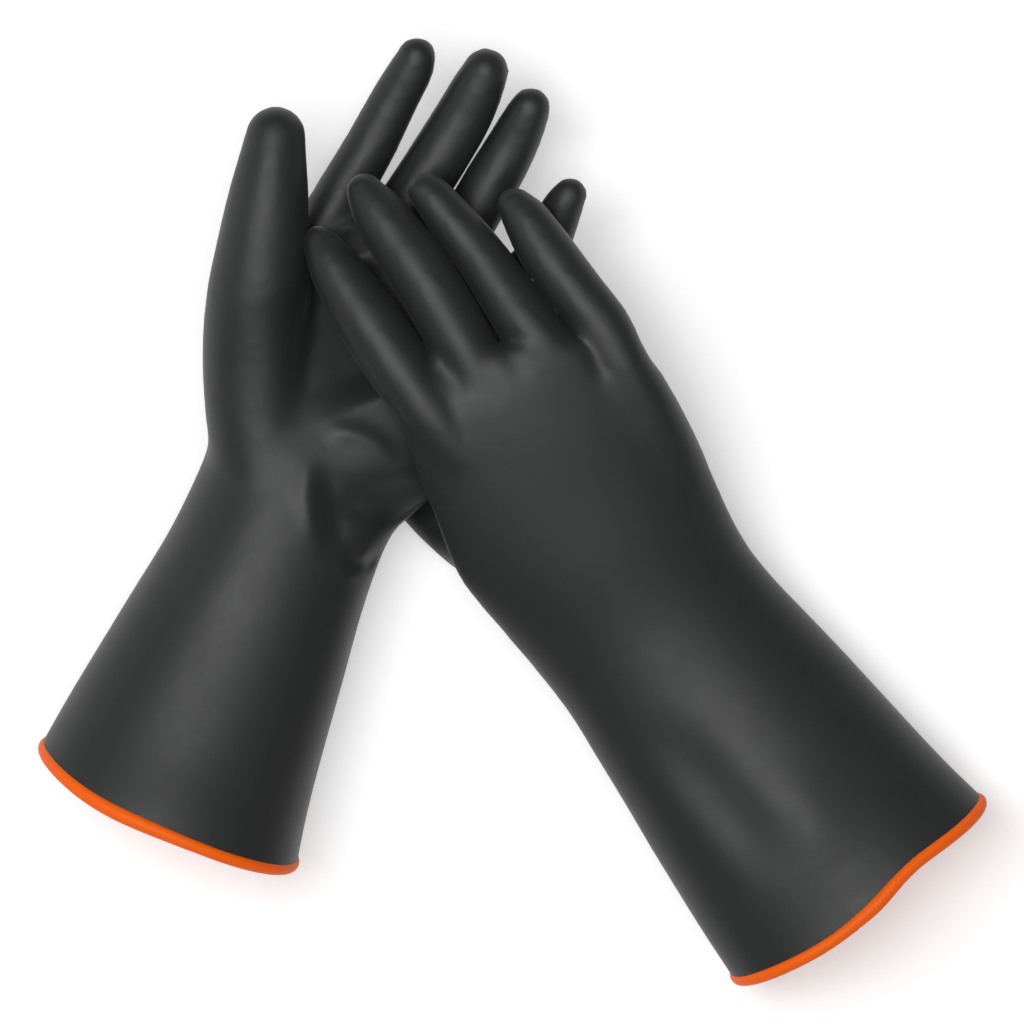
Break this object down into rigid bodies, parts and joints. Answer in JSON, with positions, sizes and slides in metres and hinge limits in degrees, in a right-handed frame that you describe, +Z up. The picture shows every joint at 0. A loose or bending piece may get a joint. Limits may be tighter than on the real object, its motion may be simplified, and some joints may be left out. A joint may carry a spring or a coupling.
{
  "type": "electrical insulating gloves",
  "caption": "Pair of long-cuff rubber electrical insulating gloves lying clasped palm to palm, black outer layer over an orange inner layer with a rolled orange cuff bead.",
  "frame": {"origin": "centre of the pair's plan on the table they lie on", "axes": "+Z up from the table, +Y away from the cuffs towards the left glove's fingertips, +X towards the right glove's cuff"},
  "size_m": [0.3894, 0.3918, 0.0943],
  "materials": {
    "black_rubber": "satin",
    "orange_rubber": "matte",
    "bead_rubber": "satin"
  },
  "bodies": {
    "left_glove": {"left_outer_layer": "black_rubber", "left_inner_layer": "orange_rubber", "left_cuff_bead": "bead_rubber"},
    "right_glove": {"right_outer_layer": "black_rubber", "right_inner_layer": "orange_rubber", "right_cuff_bead": "bead_rubber"}
  },
  "joints": [
    {"name": "pull_apart", "type": "slide", "parent": "left_glove", "child": "right_glove", "axis": [0.5878, -0.809, 0], "range_m": [0, 0.3]}
  ]
}
